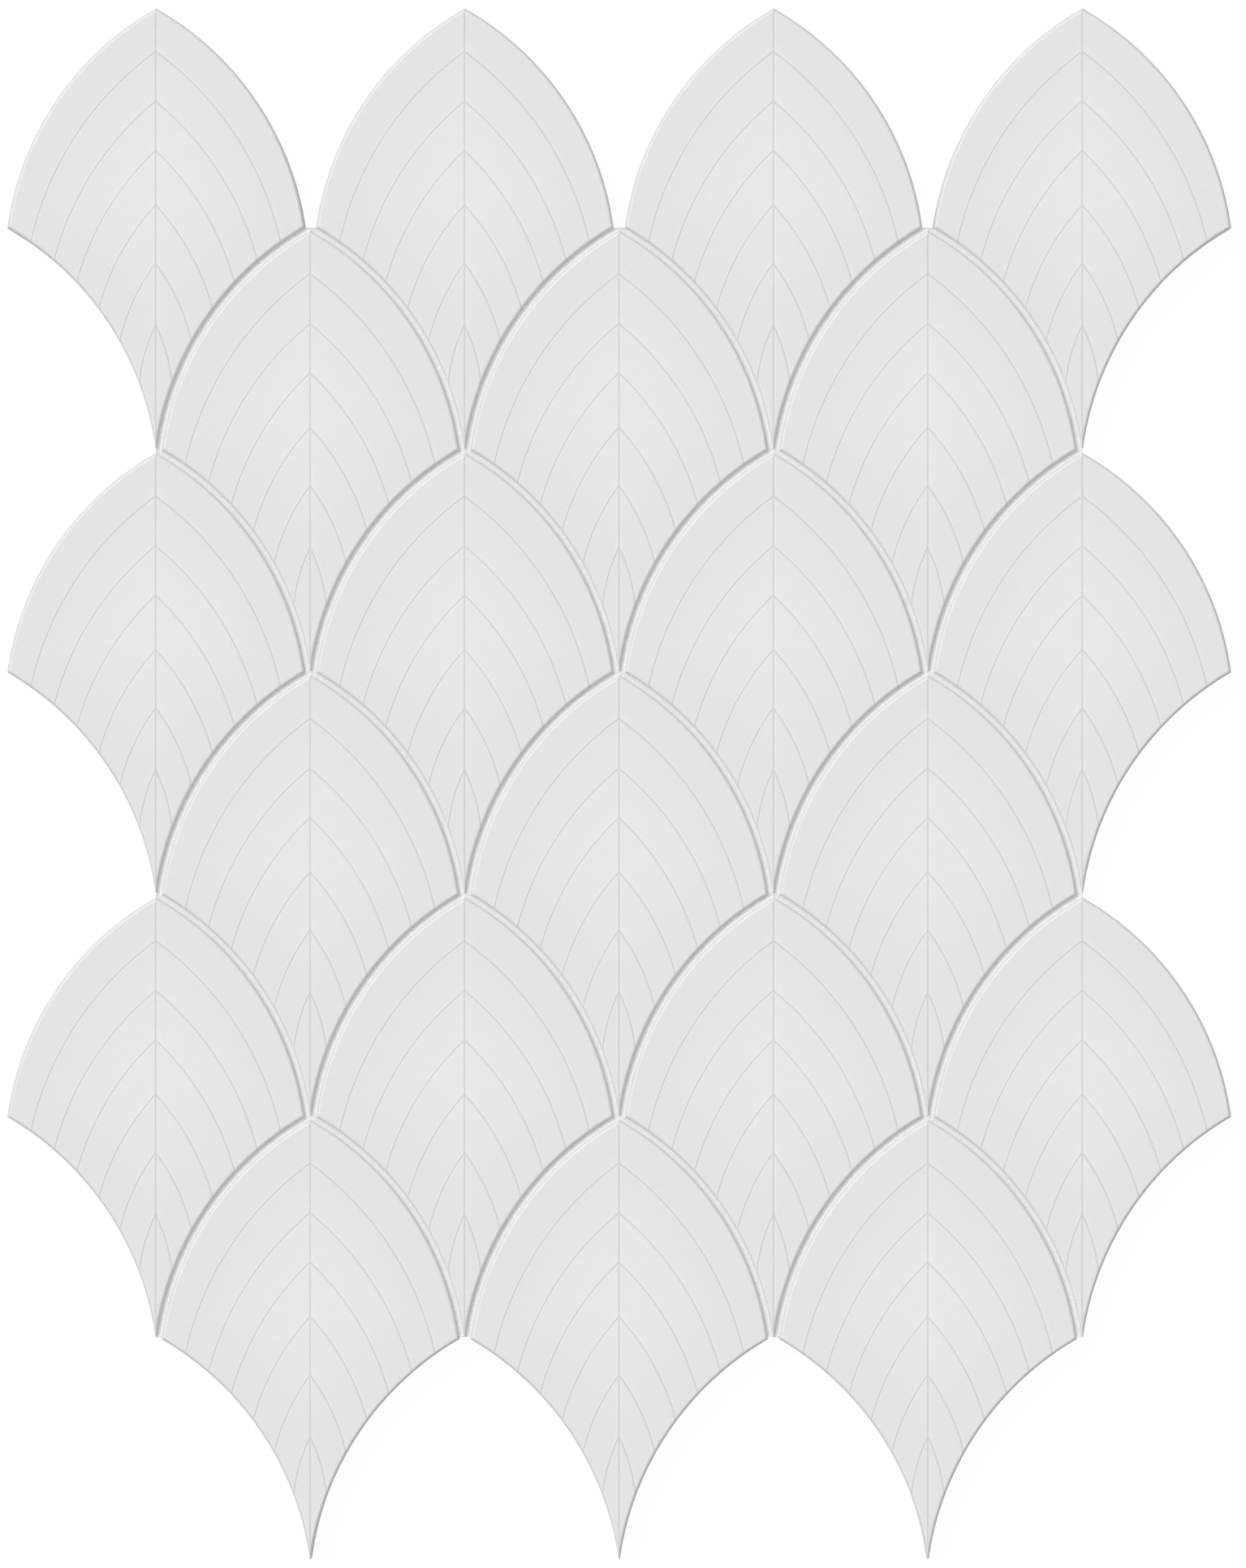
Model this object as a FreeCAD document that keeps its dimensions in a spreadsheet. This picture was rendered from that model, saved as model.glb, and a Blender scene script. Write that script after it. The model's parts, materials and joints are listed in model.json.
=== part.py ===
import FreeCAD, Part
import math
import os
import Sketcher

# Sheet of pointed fish scale tiles, scored down the middle, with filled joints on a mesh backing.
# Millimetres, lying face up: +Z out of the faces, +Y towards the tips, origin under the middle.

# Driving dimensions: name, value, what it is
DRIVING = [
    ("tile_width", 69.4, "corner to corner, the widest part of a tile"),
    ("shoulder_drop", 51.2, "from the tip down to the level of the corners"),
    ("scale_radius", 69.3, "plan radius of the two upper edges"),
    ("tail_width", 0.2, "bottom of a tile, level with the corners on either side of it"),
    ("tail_trim", 0.55, "blunt end of the tail above that level"),
    ("joint_width", 1.2, "between the facing edges of two tiles"),
    ("tile_thickness", 8.0, "back to face"),
    ("bevel_width", 0.55, "bevel round the face, in plan"),
    ("bevel_depth", 0.6, "bevel round the face, in height"),
    ("midrib_width", 0.5, "line scored from tip to tail, at the face"),
    ("midrib_depth", 0.15, "line scored from tip to tail, below the face"),
    ("joint_recess", 0.7, "from the face down to the joint filler"),
    ("mesh_thickness", 0.5, "backing mesh"),
    ("mesh_margin", 2.0, "backing mesh, inside the edge of the filled joints"),
    ("columns", 4, "tiles in the first and every second row"),
    ("rows", 6, "rows of tiles"),
]

# What follows from them, for one tile with its tip at the origin and its tail towards -Y
DERIVED = [
    ("half_chord", "sqrt((Sizes.tile_width / 2) ^ 2 + Sizes.shoulder_drop ^ 2) / 2"),
    ("chord_gap", "sqrt(Sizes.scale_radius ^ 2 - half_chord ^ 2)"),
    ("arc_centre_x", "Sizes.tile_width / 4 - chord_gap * Sizes.shoulder_drop / (2 * half_chord)"),
    ("arc_centre_y", "-Sizes.shoulder_drop / 2 - chord_gap * Sizes.tile_width / (4 * half_chord)"),
    ("column_pitch", "Sizes.tile_width + Sizes.tail_width + 2 * Sizes.joint_width"),
    ("flank_radius", "Sizes.scale_radius + Sizes.joint_width"),
    ("flank_centre_x", "column_pitch / 2 - arc_centre_x"),
    ("flank_drop", "sqrt(flank_radius ^ 2 - (flank_centre_x - Sizes.tile_width / 2) ^ 2)"),
    ("flank_centre_y", "-Sizes.shoulder_drop - flank_drop"),
    ("row_pitch", "arc_centre_y - flank_centre_y"),
    ("tile_length", "row_pitch + Sizes.shoulder_drop - Sizes.tail_trim"),
    ("tail_reach", "sqrt(flank_radius ^ 2 - (flank_centre_y + tile_length) ^ 2)"),
    ("sheet_length", "(Sizes.rows - 1) * row_pitch + tile_length"),
    ("field_width", "(Sizes.columns - 1) * column_pitch"),
    ("field_length", "(Sizes.rows - 1) * row_pitch - Sizes.tail_trim"),
    ("field_low", "sheet_length / 2 - Sizes.shoulder_drop - field_length"),
]


def fill_sheet(doc, name, cells):
    """Spreadsheet with a label in column A and its aliased cell in column B."""
    sheet = doc.addObject("Spreadsheet::Sheet", name)
    for row, (alias, content) in enumerate(cells, start=1):
        sheet.set(f"A{row}", alias)
        sheet.set(f"B{row}", content)
        sheet.setAlias(f"B{row}", alias)
    doc.recompute()
    return sheet


def origin_plane(body, role):
    return next(item for item in body.Origin.OriginFeatures if item.Role == role)


def new_sketch(body, name, role):
    sketch = body.newObject("Sketcher::SketchObject", name)
    sketch.AttachmentSupport = (origin_plane(body, role), [""])
    sketch.MapMode = "FlatFace"
    return sketch


def dimension(sketch, name, expression, *constraint):
    """Dimension bound to the sheets, drawn at its present value."""
    value = float(sketch.evalExpression(expression))
    index = sketch.addConstraint(Sketcher.Constraint(*constraint, value))
    sketch.renameConstraint(index, name)
    sketch.setExpression(f"Constraints.{name}", expression)


def triangle(sketch, corners):
    """Closed triangle whose corners are pairs of expressions measured from the sketch origin."""
    places = []
    for across, up in corners:
        places.append(FreeCAD.Vector(sketch.evalExpression(across), sketch.evalExpression(up), 0))
    for side in range(3):
        sketch.addGeometry(Part.LineSegment(places[side], places[(side + 1) % 3]))
    for side in range(3):
        sketch.addConstraint(Sketcher.Constraint("Coincident", side, 2, (side + 1) % 3, 1))
    for side, (across, up) in enumerate(corners):
        if places[side].x == 0:
            sketch.addConstraint(Sketcher.Constraint("PointOnObject", side, 1, -2))
        else:
            dimension(sketch, f"corner_{side}_across", across, "DistanceX", -1, 1, side, 1)
        dimension(sketch, f"corner_{side}_up", up, "DistanceY", -1, 1, side, 1)


def checked_cut(body, feature):
    """Make the feature the body's tip, and stop if it took nothing away."""
    before = body.Shape.Volume
    body.Tip = feature
    body.Document.recompute()
    if not body.Shape.Volume < before:
        raise RuntimeError(f"{feature.Name} cuts nothing")


def ring_cut(body, name, centre, corners):
    """Groove turned about an upright axis through a point of the plan."""
    sketch = new_sketch(body, f"{name}_profile", "XZ_Plane")
    sketch.setExpression(".AttachmentOffset.Base.x", f"Layout.{centre}_x")
    sketch.setExpression(".AttachmentOffset.Base.z", f"-Layout.{centre}_y")
    triangle(sketch, corners)
    groove = body.newObject("PartDesign::Groove", name)
    groove.Profile = sketch
    groove.ReferenceAxis = (sketch, ["V_Axis"])
    groove.Angle = 360
    checked_cut(body, groove)


def half_outline(body, layout):
    """Right half of the plan: upper arc, lower arc that clears the next row, blunt tail, midline."""
    sketch = new_sketch(body, "half_outline", "XY_Plane")
    up = FreeCAD.Vector(0, 0, 1)
    tip = FreeCAD.Vector(0, 0, 0)
    corner = FreeCAD.Vector(*(float(layout.evalExpression(text)) for text in
                              ("Sizes.tile_width / 2", "-Sizes.shoulder_drop")), 0)
    tail = FreeCAD.Vector(layout.flank_centre_x - layout.tail_reach, -layout.tile_length, 0)
    tail_middle = FreeCAD.Vector(0, tail.y, 0)
    arc_centre = FreeCAD.Vector(layout.arc_centre_x, layout.arc_centre_y, 0)
    flank_centre = FreeCAD.Vector(layout.flank_centre_x, layout.flank_centre_y, 0)
    for centre, start, end in ((arc_centre, corner, tip), (flank_centre, corner, tail)):
        angles = [math.atan2(point.y - centre.y, point.x - centre.x) for point in (start, end)]
        circle = Part.Circle(centre, up, (start - centre).Length)
        sketch.addGeometry(Part.ArcOfCircle(circle, *angles))
    sketch.addGeometry(Part.LineSegment(tail, tail_middle))
    sketch.addGeometry(Part.LineSegment(tail_middle, tip))
    for joined in ((0, 1, 1, 1), (1, 2, 2, 1), (2, 2, 3, 1), (3, 2, 0, 2), (0, 2, -1, 1)):
        sketch.addConstraint(Sketcher.Constraint("Coincident", *joined))
    sketch.addConstraint(Sketcher.Constraint("Horizontal", 2))
    sketch.addConstraint(Sketcher.Constraint("Vertical", 3))
    dimension(sketch, "half_width", "Sizes.tile_width / 2", "DistanceX", -1, 1, 0, 1)
    dimension(sketch, "shoulder", "Sizes.shoulder_drop", "DistanceY", 0, 1, -1, 1)
    dimension(sketch, "upper_radius", "Sizes.scale_radius", "Radius", 0)
    dimension(sketch, "lower_radius", "Layout.flank_radius", "Radius", 1)
    dimension(sketch, "lower_centre", "Layout.flank_centre_x", "DistanceX", -1, 1, 1, 3)
    dimension(sketch, "length", "Layout.tile_length", "DistanceY", 1, 2, -1, 1)
    return sketch


def make_tile(doc, layout):
    """One pressed tile: half of it is cut to shape, mirrored, then scored along the midrib."""
    body = doc.addObject("PartDesign::Body", "tile")
    pad = body.newObject("PartDesign::Pad", "blank")
    pad.Profile = half_outline(body, layout)
    pad.setExpression("Length", "Sizes.tile_thickness")
    doc.recompute()

    top = "Sizes.tile_thickness"
    wide = "Sizes.bevel_width"
    deep = "Sizes.bevel_depth"
    upper = "Sizes.scale_radius"
    ring_cut(body, "upper_bevel", "arc_centre", (
        (f"{upper} - 2 * {wide}", f"{top} + {deep}"),
        (f"{upper} + {wide}", f"{top} - 2 * {deep}"),
        (f"{upper} + {wide}", f"{top} + {deep}")))
    lower = "Layout.flank_radius"
    ring_cut(body, "lower_bevel", "flank_centre", (
        (f"{lower} + 2 * {wide}", f"{top} + {deep}"),
        (f"{lower} - {wide}", f"{top} - 2 * {deep}"),
        (f"{lower} - {wide}", f"{top} + {deep}")))

    whole = body.newObject("PartDesign::Mirrored", "both_halves")
    whole.TransformMode = "Whole shape"
    whole.MirrorPlane = (origin_plane(body, "YZ_Plane"), [""])
    whole.Refine = True
    body.Tip = whole
    doc.recompute()

    midrib = new_sketch(body, "midrib_profile", "XZ_Plane")
    triangle(midrib, (
        ("-Sizes.midrib_width", f"{top} + Sizes.midrib_depth"),
        ("0", f"{top} - Sizes.midrib_depth"),
        ("Sizes.midrib_width", f"{top} + Sizes.midrib_depth")))
    score = body.newObject("PartDesign::Pocket", "midrib")
    score.Profile = midrib
    score.setExpression("Length", "Layout.tile_length")
    score.Reversed = True
    checked_cut(body, score)
    return body


def lay_tiles(doc, tile, sizes):
    """Rows from the top, each second one half a step over and one tile short."""
    tiles = []
    for row in range(int(sizes.rows)):
        count = int(sizes.columns) - row % 2
        for column in range(count):
            laid = doc.addObject("App::Link", f"tile_{row + 1}_{column + 1}")
            laid.LinkedObject = tile
            laid.LinkTransform = False
            laid.setExpression("Placement.Base.x", f"({column} - {count - 1} / 2) * Layout.column_pitch")
            laid.setExpression("Placement.Base.y", f"Layout.sheet_length / 2 - {row} * Layout.row_pitch")
            laid.setExpression("Placement.Base.z", "Sizes.mesh_thickness")
            tiles.append(laid)
    doc.recompute()
    return tiles


def flat_box(doc, name, length, width, height, corner):
    box = doc.addObject("Part::Box", name)
    box.setExpression("Length", length)
    box.setExpression("Width", width)
    box.setExpression("Height", height)
    for axis, place in zip("xyz", corner):
        box.setExpression(f"Placement.Base.{axis}", place)
    return box


def fill_joints(doc, tiles):
    """The web of filler between the tiles, cut off level with the top row's corners and the last tails."""
    field = flat_box(doc, "joint_field", "Layout.field_width", "Layout.field_length",
                     "Sizes.tile_thickness - Sizes.joint_recess",
                     ("-Layout.field_width / 2", "Layout.field_low", "Sizes.mesh_thickness"))
    group = doc.addObject("Part::Compound", "all_tiles")
    group.Links = tiles
    web = doc.addObject("Part::Cut", "joint_filler")
    web.Base = field
    web.Tool = group
    return web


def make_backing(doc):
    """The mesh is cut square and stays inside the filled joints, so that no edge of it shows."""
    margin = "Sizes.mesh_margin"
    return flat_box(doc, "backing_mesh", f"Layout.field_width - 2 * {margin}",
                    f"Layout.field_length - 2 * {margin}", "Sizes.mesh_thickness",
                    (f"-Layout.field_width / 2 + {margin}", f"Layout.field_low + {margin}", "0"))


def main():
    doc = FreeCAD.newDocument("fish_scale_sheet")
    sizes = fill_sheet(doc, "Sizes", [(alias, str(value)) for alias, value, meaning in DRIVING])
    layout = fill_sheet(doc, "Layout", [(alias, f"={formula}") for alias, formula in DERIVED])

    tiles = lay_tiles(doc, make_tile(doc, layout), sizes)
    pieces = tiles + [fill_joints(doc, tiles), make_backing(doc)]
    doc.recompute()

    failed = [item.Name for item in doc.Objects if {"Invalid", "Error"} & set(item.State)]
    if failed:
        raise RuntimeError(f"failed to build: {failed}")
    solids = {}
    for piece in pieces:
        shape = Part.getShape(piece)
        if shape.isNull() or not shape.isValid() or len(shape.Solids) != 1:
            raise RuntimeError(f"{piece.Label} is not one sound solid")
        solids[piece.Label] = shape.Solids[0]

    os.makedirs("parts", exist_ok=True)
    for label, solid in solids.items():
        solid.exportStep(f"parts/{label}.step")


main()
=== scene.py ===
"""Looks of a fish scale tile sheet: pressed and glazed tiles, sanded joints, woven backing, studio."""
import json
import math
from typing import NamedTuple

import bmesh
import bpy
from bpy.props import FloatProperty, FloatVectorProperty, IntProperty, PointerProperty
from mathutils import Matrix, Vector
from mathutils.kdtree import KDTree

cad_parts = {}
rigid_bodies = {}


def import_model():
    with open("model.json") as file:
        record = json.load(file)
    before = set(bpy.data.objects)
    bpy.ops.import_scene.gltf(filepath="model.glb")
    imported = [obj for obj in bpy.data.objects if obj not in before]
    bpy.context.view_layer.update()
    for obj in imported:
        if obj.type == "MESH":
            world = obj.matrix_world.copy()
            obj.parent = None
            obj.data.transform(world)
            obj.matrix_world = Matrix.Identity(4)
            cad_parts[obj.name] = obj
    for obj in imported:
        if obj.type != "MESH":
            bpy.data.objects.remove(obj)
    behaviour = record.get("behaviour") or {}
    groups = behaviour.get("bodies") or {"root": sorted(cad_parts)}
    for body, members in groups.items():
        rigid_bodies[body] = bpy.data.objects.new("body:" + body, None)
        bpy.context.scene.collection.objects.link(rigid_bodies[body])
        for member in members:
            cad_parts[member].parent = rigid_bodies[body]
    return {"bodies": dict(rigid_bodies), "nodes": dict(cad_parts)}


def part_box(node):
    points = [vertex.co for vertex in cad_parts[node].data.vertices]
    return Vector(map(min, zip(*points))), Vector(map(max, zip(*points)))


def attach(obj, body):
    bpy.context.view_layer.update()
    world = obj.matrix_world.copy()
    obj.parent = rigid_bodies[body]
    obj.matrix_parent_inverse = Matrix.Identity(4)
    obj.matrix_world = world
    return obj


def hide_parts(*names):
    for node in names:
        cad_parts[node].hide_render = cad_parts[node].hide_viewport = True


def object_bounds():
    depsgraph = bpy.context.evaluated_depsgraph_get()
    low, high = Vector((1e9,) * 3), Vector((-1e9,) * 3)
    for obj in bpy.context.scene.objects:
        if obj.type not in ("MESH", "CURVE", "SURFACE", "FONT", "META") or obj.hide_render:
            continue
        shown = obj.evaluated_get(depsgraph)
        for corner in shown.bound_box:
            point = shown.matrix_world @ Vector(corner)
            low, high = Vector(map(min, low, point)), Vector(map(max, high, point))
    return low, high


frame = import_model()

bl_info = {
    "name": "Fish Scale Tile Sheet",
    "version": (1, 0, 0),
    "blender": (4, 5, 0),
    "location": "3D View > Sidebar > Fish Scale",
    "description": "Builds a sheet of leaf-veined fish scale tiles with sanded joints and a woven backing",
    "category": "Mesh",
}

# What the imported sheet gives
for leftover in set(bpy.data.objects) - {*frame["bodies"].values(), *frame["nodes"].values()}:
    bpy.data.objects.remove(leftover)
CAD_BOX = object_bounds()
BODY = "root"
TILE_NODES = sorted(name for name in frame["nodes"] if name.startswith("tile_"))
FILLER_NODE = "joint_filler"
BACKING_NODE = "backing_mesh"
TILE_LOW, TILE_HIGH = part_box("tile_1_1")
TILE_WIDTH, TILE_LENGTH, TILE_THICKNESS = TILE_HIGH - TILE_LOW
COLUMN_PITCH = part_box("tile_1_2")[0].x - TILE_LOW.x
BACKING_LOW, BACKING_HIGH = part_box(BACKING_NODE)
MM = 0.001
BLACK = (0.0, 0.0, 0.0, 1.0)
WHITE = (1.0, 1.0, 1.0, 1.0)

# Where the pairs of side veins leave the midrib, in millimetres down from the tip
VEIN_FORKS = (10.2, 21.8, 33.3, 46.0, 59.6, 74.0)
# Where the lines of a tile's grid lie beside an edge, as shares of the bevel's width
EDGE_STEPS = (0.0, 0.12, 0.3, 0.52, 0.76, 1.0, 1.3)
# Where they lie beside the middle of a vein, as shares of the vein's width
LIP_STEPS = (0.0, 0.14, 0.3, 0.48, 0.66, 0.9)
# How many grid lines lie between two veins, above the tail, and between the midrib and the edge
ROWS_BETWEEN = 2
TAIL_ROWS = 12
COLUMNS_BETWEEN = 18
# How strongly the lines above the tail crowd towards it, and how nearly straight those at the tail are
TAIL_CROWDING = 2.0
TAIL_BOW = 0.02
# The most of a row's length that the close lines at the midrib and at the edge take up
CLOSE_SHARE = 0.8
# Heights of the rings on a tile's sides, as shares of its thickness
WALL_RINGS = (0.6, 0.3, 0.04)
# The distance from a vein that the points on the sides and the back are given
FAR_FROM_VEINS = 1.0

# The relief of a tile
BEVEL_ROUNDING = 1.5
LIP_ROUNDING = 1.6
RIPPLE_DETAIL = 1.0
TILE_SHARP_ANGLE = math.radians(30.0)
# The share of a vein's width at which its lips run out into the face
LIP_REACH = 0.62

# The joints
SAND_DETAIL = 2.0
JOINT_SHARP_ANGLE = math.radians(60.0)
# Into how many stretches each edge of the filler's rim is parted, to measure from
RIM_STRETCHES = 4
# Points closer than this are one, and points this far below the top still belong to it
MERGE_GAP = 0.001 * MM
TOP_MARGIN = 0.01 * MM
# How far a point's normal leans sideways where the filler meets a tile
SIDE_LEAN = 0.1

# The backing
YARN_SIDES = 6
STEPS_PER_CELL = 2.0


class Grain(NamedTuple):
    """The size of a grain, and how much finer detail is in it."""

    size: float
    detail: float


class Relief(NamedTuple):
    """Strength and height of the finest relief of a surface."""

    strength: float
    height: float


# The part of a noise's range that its specks take up
SPECK_RANGE = (0.32, 0.68)

# The glaze and the clay under it, with distances from the edge of the tile or from the middle of a vein
GLAZE_GRAIN = Grain(1.6 * MM, 3.0)
GLAZE_SPECK_SHADE = 0.012
GLAZE_ROUGHNESS = (0.46, 0.54)
GLAZE_RELIEF = Relief(0.25, 0.1 * MM)
GLAZE_PEEL = 0.15
# Over this span of distance from the edge the glaze pales towards the middle: a painted soft highlight on
# the face
MIDDLE_HIGHLIGHT_SPAN = (2 * MM, 25 * MM)
# Where the painted shade on the rounded edge starts to fade
EDGE_SHADE_START = 0.2 * MM
# Over this distance from a vein's middle its painted shade fades
VEIN_SHADE_FADE = (0.05 * MM, 0.3 * MM)
# Where the painted highlight beside a vein comes up, and where it fades
LIP_SHINE_RISE = (0.2 * MM, 0.4 * MM)
LIP_SHINE_FADE = (0.4 * MM, 0.9 * MM)
CLAY_GRAIN = Grain(0.7 * MM, 4.0)
CLAY_SPECK_TONE = 0.86
CLAY_EXTRA_ROUGHNESS = 0.42
# The runs in which the glaze ends on the sides, their height and how soft their ends are
GLAZE_RUNS = Grain(6 * MM, 2.0)
RUN_HEIGHT = 3 * MM
RUN_END = 0.15 * MM

# The filler
DUST_GRAIN = Grain(0.15 * MM, 3.0)
DUST_COVER = 0.35
FILLER_ROUGHNESS = (0.95, 0.85)
FILLER_RELIEF = Relief(0.5, 0.08 * MM)

# The yarn
FILAMENT_GRAIN = Grain(1.0, 2.0)
# How fine the filaments are, round the yarn and for each metre along it
FILAMENTS_ROUND = 40.0
FILAMENTS_ALONG = 300.0
FILAMENT_SHADE = 0.6
LINT_GRAIN = Grain(0.5 * MM, 3.0)
LINT_COVER = 0.3
YARN_ROUGHNESS = (0.45, 0.7)
YARN_RELIEF = Relief(0.5, 0.05 * MM)

# The floor
FLOOR_GRAIN = Grain(30 * MM, 2.0)
FLOOR_SPECK_SHADE = 0.01
FLOOR_ROUGHNESS = 0.9


def length(name, description, millimetres):
    """A size that is set in millimetres and kept in metres."""
    return FloatProperty(name=name, description=description, default=millimetres * MM, min=0.0,
                         precision=5, subtype="DISTANCE", unit="LENGTH")


def share(name, description, default, highest=1.0):
    """A plain number, mostly from nothing to all."""
    return FloatProperty(name=name, description=description, default=default, min=0.0, max=highest)


def angle(name, description, degrees):
    """An angle that is set in degrees."""
    return FloatProperty(name=name, description=description, default=math.radians(degrees),
                         subtype="ANGLE", unit="ROTATION")


def colour(name, description, default):
    """A linear colour."""
    return FloatVectorProperty(name=name, description=description, default=default, size=3,
                               min=0.0, max=1.0, subtype="COLOR")


class FISHSCALE_PG_tile(bpy.types.PropertyGroup):
    """Sizes and glaze of one tile"""

    scale_radius: length("Scale radius", "Radius of the two arcs that meet in the tip", 69.3)
    shoulder_drop: length("Shoulder drop", "How far the side corners lie below the tip", 51.2)
    joint_width: length("Joint width", "Gap between two tiles", 1.2)
    bevel_width: length("Bevel width", "Width of the rounded edge in plan", 0.64)
    bevel_depth: length("Bevel depth", "Drop of the rounded edge", 0.6)
    vein_forks: FloatVectorProperty(
        name="Vein forks", description="Where each pair of side veins leaves the midrib, down from the tip",
        default=[fork * MM for fork in VEIN_FORKS], size=len(VEIN_FORKS), precision=5, unit="LENGTH")
    vein_spread: share("Vein spread", "How the ends of the veins crowd towards the tail", 1.13, 3.0)
    vein_bow: share("Vein bow", "Rise of the first vein's arc against its chord", 0.092)
    bow_fade: share("Bow fade", "Ratio of one vein's bow to the bow of the vein above it", 0.87)
    vein_width: length("Vein width", "Width of a vein at the face", 0.5)
    vein_depth: length("Vein depth", "Depth of a vein", 0.07)
    ripple: length("Ripple", "Height of the slow waves in the glaze", 0.03)
    ripple_size: length("Ripple size", "Width of the slow waves in the glaze", 14.0)
    seed: IntProperty(name="Seed", description="Start of the waves in the glaze", default=7)
    edge_colour: colour("Edge colour", "Glaze along the edges of a tile", (0.778, 0.786, 0.758))
    # The middle colour is the glaze with a painted soft highlight on it
    middle_colour_with_painted_highlight: colour("Middle colour", "Glaze in the middle of a tile", (0.813, 0.814, 0.794))
    # Painted shade in the vein grooves, laid into the glaze colour
    vein_painted_shade: share("Vein shade", "How far the glaze darkens in a vein", 0.17)
    # A painted highlight beside each vein, on the side of the tip
    lip_painted_highlight: share("Lip shine", "How far the glaze pales beside a vein, on the side of the tip", 0.10)
    # Painted shade on the rounded edge, laid into the glaze colour
    edge_painted_shade: share("Edge shade", "How far the glaze darkens on the rounded edge", 0.13)
    biscuit_colour: colour("Biscuit colour", "Bare clay on the back and low on the sides",
                           (0.72, 0.66, 0.57))
    glaze_line: length("Glaze line", "Height on the sides down to which the glaze has run", 3.2)


class FISHSCALE_PG_joints(bpy.types.PropertyGroup):
    """Sizes and colours of the joints"""

    fineness: length("Fineness", "Longest edge in the worked surface", 0.32)
    dish: length("Dish", "How far the filler is wiped hollow between two tiles", 0.3)
    grain: length("Grain", "Height of the sand in the surface", 0.03)
    grain_size: length("Grain size", "Size of the sand in the surface", 0.35)
    bite: length("Bite", "How far the filler reaches into the sides of the tiles", 0.05)
    seed: IntProperty(name="Seed", description="Start of the sand pattern", default=3)
    pale_colour: colour("Pale colour", "Cement between the grains", (0.845, 0.845, 0.835))
    sand_colour: colour("Sand colour", "The darker grains", (0.74, 0.74, 0.73))


class FISHSCALE_PG_backing(bpy.types.PropertyGroup):
    """Sizes and colour of the woven backing"""

    cell: length("Cell", "Step from one yarn to the next", 5.0)
    yarn_width: length("Yarn width", "Width of a yarn that has been pressed flat", 1.2)
    yarn_thickness: length("Yarn thickness", "Thickness of a yarn that has been pressed flat", 0.18)
    crimp: length("Crimp", "How far a yarn rises and falls at the crossings", 0.155)
    yarn_colour: colour("Yarn colour", "The coated glass yarn", (0.80, 0.81, 0.80))
    gap_colour: colour("Gap colour", "The shade between the filaments", (0.52, 0.53, 0.52))


class FISHSCALE_PG_stage(bpy.types.PropertyGroup):
    """Camera and light of the studio"""

    camera_height: length("Camera height", "From the faces of the tiles to the camera", 2000.0)
    frame_height: length("Frame height", "What the long side of the picture covers", 365.6)
    aim_x: FloatProperty(name="Aim across", description="Picture's middle across the sheet",
                         default=0.88 * MM, subtype="DISTANCE", unit="LENGTH")
    aim_y: FloatProperty(name="Aim along", description="Picture's middle along the sheet",
                         default=-0.06 * MM, subtype="DISTANCE", unit="LENGTH")
    key_azimuth: angle("Key azimuth", "Where the key light stands, anticlockwise from +X", 137.0)
    key_elevation: angle("Key elevation", "How high the key light stands", 42.0)
    key_softness: angle("Key softness", "Width of the key light as the sheet sees it", 28.0)
    key_strength: FloatProperty(name="Key strength", description="Strength of the key light", default=1.88)
    ambient: share("Ambient", "Light from all round", 0.60, 10.0)
    floor_colour: colour("Floor colour", "The pale floor", (0.06, 0.06, 0.06))
    floor_glow: share("Floor glow", "Brightness of the floor in the picture", 0.955, 10.0)
    floor_bounce: share("Floor bounce", "Share of that brightness that lights the tiles", 0.35)


class NodeSketch:
    """Adds nodes to a tree and wires them up."""

    def __init__(self, tree):
        self.tree = tree

    def feed(self, socket, value):
        """Links a socket to another, or sets its value."""
        if isinstance(value, bpy.types.NodeSocket):
            self.tree.links.new(value, socket)
        else:
            socket.default_value = value

    def add(self, kind, inputs=None, **settings):
        """Adds one node, with its inputs by name or number."""
        node = self.tree.nodes.new(kind)
        for name, value in settings.items():
            setattr(node, name, value)
        for key, value in (inputs or {}).items():
            self.feed(node.inputs[key], value)
        return node

    def math(self, operation, *values, clamp=False):
        """The result of one sum."""
        node = self.add("ShaderNodeMath", dict(enumerate(values)), operation=operation, use_clamp=clamp)
        return node.outputs[0]

    def vector(self, x=0.0, y=0.0, z=0.0):
        """A vector from three numbers."""
        return self.add("ShaderNodeCombineXYZ", {0: x, 1: y, 2: z}).outputs[0]

    def ramp(self, value, low, high, start=0.0, end=1.0):
        """A smooth step from start to end while a value goes from low to high."""
        node = self.add("ShaderNodeMapRange", interpolation_type="SMOOTHSTEP")
        for key, number in enumerate((value, low, high, start, end)):
            self.feed(node.inputs[key], number)
        return node.outputs[0]

    def between(self, mask, start, end):
        """A smooth step from start to end while a mask goes from nothing to all."""
        return self.ramp(mask, 0.0, 1.0, start, end)

    def noise(self, size, detail, seed):
        """Seeded noise on the places of the points."""
        scale = self.math("DIVIDE", 1.0, size)
        return self.add("ShaderNodeTexNoise", {"W": seed, "Detail": detail, "Scale": scale},
                        noise_dimensions="4D").outputs[0]

    def carried(self, name):
        """A number that the points of a geometry carry."""
        return self.add("GeometryNodeInputNamedAttribute", {"Name": name}, data_type="FLOAT").outputs[0]

    def blend(self, factor, first, second):
        """One colour laid over another."""
        node = self.add("ShaderNodeMix", data_type="RGBA")
        for key, value in ((0, factor), (6, first), (7, second)):
            self.feed(node.inputs[key], value)
        return node.outputs[2]


def opaque(rgb):
    """A colour with its alpha."""
    return (*rgb, 1.0)


def new_tree(name, kind, inputs, outputs):
    """An empty node group with named sockets."""
    tree = bpy.data.node_groups.new(name, kind)
    for in_out, sockets in (("INPUT", inputs), ("OUTPUT", outputs)):
        for socket_name, kind_of_socket in sockets.items():
            tree.interface.new_socket(name=socket_name, in_out=in_out,
                                      socket_type="NodeSocket" + kind_of_socket)
    return tree


def new_object(name, mesh):
    """An object at the origin."""
    made = bpy.data.objects.new(name, mesh)
    bpy.context.scene.collection.objects.link(made)
    return made


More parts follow.
